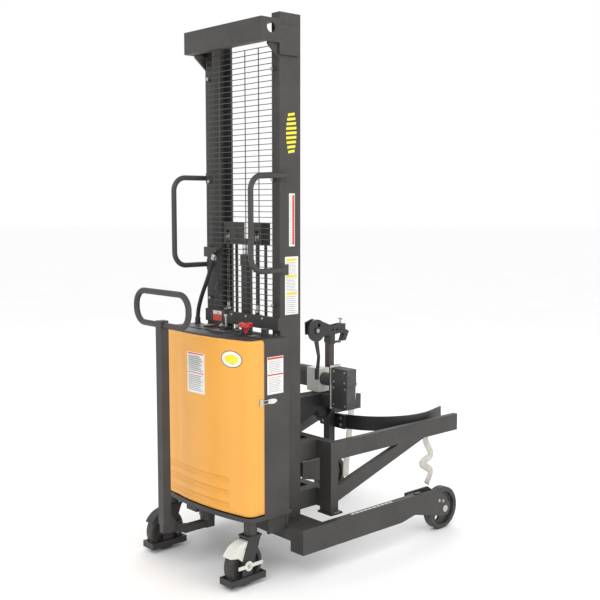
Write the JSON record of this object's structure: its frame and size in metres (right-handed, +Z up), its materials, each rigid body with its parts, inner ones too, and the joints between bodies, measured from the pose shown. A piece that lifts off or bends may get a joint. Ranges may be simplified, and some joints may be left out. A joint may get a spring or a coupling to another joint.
{
  "type": "drum stacker",
  "caption": "Powered pedestrian stacker with straddle legs, guarded mast, tiller, swivel casters, and a rotating drum saddle with rim clamp.",
  "frame": {"origin": "middle of the bounding box on the floor", "axes": "+X forward from the tiller to the drum, +Y to the left, +Z up"},
  "size_m": [1.517, 0.834, 2.337],
  "materials": {
    "frame_paint": "charcoal powder coat, satin",
    "cover_paint": "orange powder coat, satin",
    "box_paint": "black powder coat, satin",
    "cream_paint": "cream paint, semi gloss",
    "saddle_paint": "black paint, satin",
    "steel": "turned steel",
    "chrome": "polished",
    "chain": "oiled",
    "wheel_poly": "black polyurethane tread",
    "caster_poly": "dark grey-brown tread",
    "hose": "matte black",
    "strap": "ivory webbing",
    "red_plastic": "gloss",
    "black_plastic": "matte",
    "wire": "grey coated wire"
  },
  "bodies": {
    "chassis": {"base_frame": "frame_paint", "leg_left": "frame_paint", "leg_right": "frame_paint", "mast_column_left": "frame_paint", "mast_column_right": "frame_paint", "mast_head": "frame_paint", "lower_tie": "frame_paint", "guard_mesh": "wire", "grab_handle_left": "frame_paint", "grab_handle_right": "frame_paint", "power_box": "box_paint", "control_panel": "box_paint", "power_pack": "black_plastic", "cylinder_barrel": "frame_paint", "guide_frame": "frame_paint", "frame_arm_left": "frame_paint", "frame_arm_right": "frame_paint", "hose_bracket": "frame_paint", "hydraulic_hose": "hose", "charger_cord": "hose", "charger_plug": "black_plastic", "lift_chain_rear": "chain"},
    "ram": {"ram": "chrome", "lift_chain_front": "chain"},
    "pulley_left": {"chain_pulley_left": "steel"},
    "pulley_right": {"chain_pulley_right": "steel"},
    "carriage": {"carriage": "frame_paint", "lift_arm": "frame_paint", "rotator_gearbox": "frame_paint", "rotator_motor": "frame_paint", "motor_brake": "cream_paint"},
    "roller_lower_left": {"carriage_roller_lower_left": "steel"},
    "roller_lower_right": {"carriage_roller_lower_right": "steel"},
    "roller_upper_left": {"carriage_roller_upper_left": "steel"},
    "roller_upper_right": {"carriage_roller_upper_right": "steel"},
    "saddle": {"output_flange": "steel", "drum_saddle": "saddle_paint", "clamp_post": "saddle_paint", "drum_straps": "strap"},
    "clamp": {"clamp_slider": "saddle_paint"},
    "clamp_lever": {"clamp_lever": "saddle_paint"},
    "clamp_beak": {"clamp_beak": "saddle_paint"},
    "clamp_screw": {"clamp_screw": "steel"},
    "clamp_pin": {"clamp_pin": "steel"},
    "yoke": {"steer_yoke": "frame_paint"},
    "tiller": {"tiller": "frame_paint"},
    "caster_left": {"caster_fork_left": "steel"},
    "caster_right": {"caster_fork_right": "steel"},
    "caster_wheel_left": {"caster_wheel_left": "caster_poly"},
    "caster_wheel_right": {"caster_wheel_right": "caster_poly"},
    "brake_left": {"caster_brake_left": "cream_paint"},
    "brake_right": {"caster_brake_right": "cream_paint"},
    "front_wheel_left": {"front_wheel_left": "wheel_poly"},
    "front_wheel_right": {"front_wheel_right": "wheel_poly"},
    "cover": {"power_cover": "cover_paint"},
    "latch": {"cover_latch": "steel"},
    "lever": {"control_lever": "black_plastic"},
    "stop": {"stop_knob": "red_plastic"},
    "key": {"key_switch": "black_plastic"}
  },
  "joints": [
    {"name": "ram_lift", "type": "slide", "parent": "chassis", "child": "ram", "axis": [0, 0, 1], "range_m": [0, 0.72], "deforming": ["lift_chain_rear"]},
    {"name": "carriage_lift", "type": "slide", "parent": "ram", "child": "carriage", "axis": [0, 0, 1], "range_m": [0, 0.72], "deforming": ["lift_chain_front"]},
    {"name": "pulley_spin_left", "type": "hinge", "parent": "ram", "child": "pulley_left", "pos_m": [-0.2925, 0.101, 1.412], "axis": [0, 1, 0], "continuous": true},
    {"name": "pulley_spin_right", "type": "hinge", "parent": "ram", "child": "pulley_right", "pos_m": [-0.2925, -0.101, 1.412], "axis": [0, 1, 0], "continuous": true},
    {"name": "roller_spin_lower_left", "type": "hinge", "parent": "carriage", "child": "roller_lower_left", "pos_m": [-0.2625, 0.213, 0.592], "axis": [0, 1, 0], "continuous": true},
    {"name": "roller_spin_lower_right", "type": "hinge", "parent": "carriage", "child": "roller_lower_right", "pos_m": [-0.2625, -0.213, 0.592], "axis": [0, 1, 0], "continuous": true},
    {"name": "roller_spin_upper_left", "type": "hinge", "parent": "carriage", "child": "roller_upper_left", "pos_m": [-0.2625, 0.213, 0.752], "axis": [0, 1, 0], "continuous": true},
    {"name": "roller_spin_upper_right", "type": "hinge", "parent": "carriage", "child": "roller_upper_right", "pos_m": [-0.2625, -0.213, 0.752], "axis": [0, 1, 0], "continuous": true},
    {"name": "saddle_turn", "type": "hinge", "parent": "carriage", "child": "saddle", "pos_m": [0.1625, 0, 0.6], "axis": [1, 0, 0], "range_deg": [-90, 90], "deforming": ["drum_straps"]},
    {"name": "clamp_height", "type": "slide", "parent": "saddle", "child": "clamp", "axis": [0, 0, 1], "range_m": [-0.06, 0.1]},
    {"name": "clamp_lever_swing", "type": "hinge", "parent": "clamp", "child": "clamp_lever", "pos_m": [0.0965, 0, 0.97], "axis": [0, 1, 0], "range_deg": [0, 120]},
    {"name": "beak_open", "type": "hinge", "parent": "clamp", "child": "clamp_beak", "pos_m": [0.2685, 0, 0.96], "axis": [0, -1, 0], "range_deg": [0, 3]},
    {"name": "screw_travel", "type": "slide", "parent": "clamp", "child": "clamp_screw", "axis": [0, 0, 1], "range_m": [0, 0.01]},
    {"name": "pin_pull", "type": "slide", "parent": "saddle", "child": "clamp_pin", "axis": [0, -1, 0], "range_m": [0, 0.02]},
    {"name": "steer", "type": "hinge", "parent": "chassis", "child": "yoke", "pos_m": [-0.5195, 0, 0.2], "axis": [0, 0, 1], "range_deg": [-45, 45]},
    {"name": "tiller_tilt", "type": "hinge", "parent": "yoke", "child": "tiller", "pos_m": [-0.6745, 0, 0.198], "axis": [0, -1, 0], "range_deg": [0, 75]},
    {"name": "caster_swivel_left", "type": "hinge", "parent": "chassis", "child": "caster_left", "pos_m": [-0.5095, 0.283, 0.2], "axis": [0, 0, 1], "continuous": true},
    {"name": "caster_swivel_right", "type": "hinge", "parent": "chassis", "child": "caster_right", "pos_m": [-0.5095, -0.283, 0.2], "axis": [0, 0, 1], "continuous": true},
    {"name": "caster_roll_left", "type": "hinge", "parent": "caster_left", "child": "caster_wheel_left", "pos_m": [-0.5515, 0.283, 0.0889], "axis": [0, 1, 0], "continuous": true},
    {"name": "caster_roll_right", "type": "hinge", "parent": "caster_right", "child": "caster_wheel_right", "pos_m": [-0.55147, -0.28447, 0.0889], "axis": [-0.0349, 0.9994, 0], "continuous": true},
    {"name": "brake_press_left", "type": "hinge", "parent": "caster_left", "child": "brake_left", "pos_m": [-0.5515, 0.283, 0.0889], "axis": [0, -1, 0], "range_deg": [0, 8]},
    {"name": "brake_press_right", "type": "hinge", "parent": "caster_right", "child": "brake_right", "pos_m": [-0.55147, -0.28447, 0.0889], "axis": [0.0349, -0.9994, 0], "range_deg": [0, 8]},
    {"name": "front_roll_left", "type": "hinge", "parent": "chassis", "child": "front_wheel_left", "pos_m": [0.5855, 0.385, 0.1016], "axis": [0, 1, 0], "continuous": true},
    {"name": "front_roll_right", "type": "hinge", "parent": "chassis", "child": "front_wheel_right", "pos_m": [0.5855, -0.385, 0.1016], "axis": [0, 1, 0], "continuous": true},
    {"name": "cover_off", "type": "slide", "parent": "chassis", "child": "cover", "axis": [-1, 0, 0], "range_m": [0, 0.1]},
    {"name": "latch_open", "type": "hinge", "parent": "chassis", "child": "latch", "pos_m": [-0.4055, -0.334, 0.758], "axis": [0, 0, 1], "range_deg": [0, 100]},
    {"name": "lever_tilt", "type": "hinge", "parent": "chassis", "child": "lever", "pos_m": [-0.4095, 0, 1.026], "axis": [0, 1, 0], "range_deg": [-15, 15], "stiffness_Nm_per_rad": 3},
    {"name": "stop_press", "type": "slide", "parent": "chassis", "child": "stop", "axis": [0, 0, -1], "range_m": [0, 0.004], "stiffness_N_per_m": 1500, "springref_m": -0.002},
    {"name": "key_turn", "type": "hinge", "parent": "chassis", "child": "key", "pos_m": [-0.4035, -0.07, 1.02], "axis": [0, 0, 1], "range_deg": [-90, 0]}
  ],
  "couplings": [
    {"joint": "carriage_lift", "follows": "ram_lift", "ratio": 1},
    {"joint": "pulley_spin_left", "follows": "ram_lift", "rad_per_m": 41.667},
    {"joint": "pulley_spin_right", "follows": "ram_lift", "rad_per_m": 41.667},
    {"joint": "roller_spin_lower_left", "follows": "ram_lift", "rad_per_m": 43.011},
    {"joint": "roller_spin_lower_right", "follows": "ram_lift", "rad_per_m": 43.011},
    {"joint": "roller_spin_upper_left", "follows": "ram_lift", "rad_per_m": -43.011},
    {"joint": "roller_spin_upper_right", "follows": "ram_lift", "rad_per_m": -43.011}
  ]
}
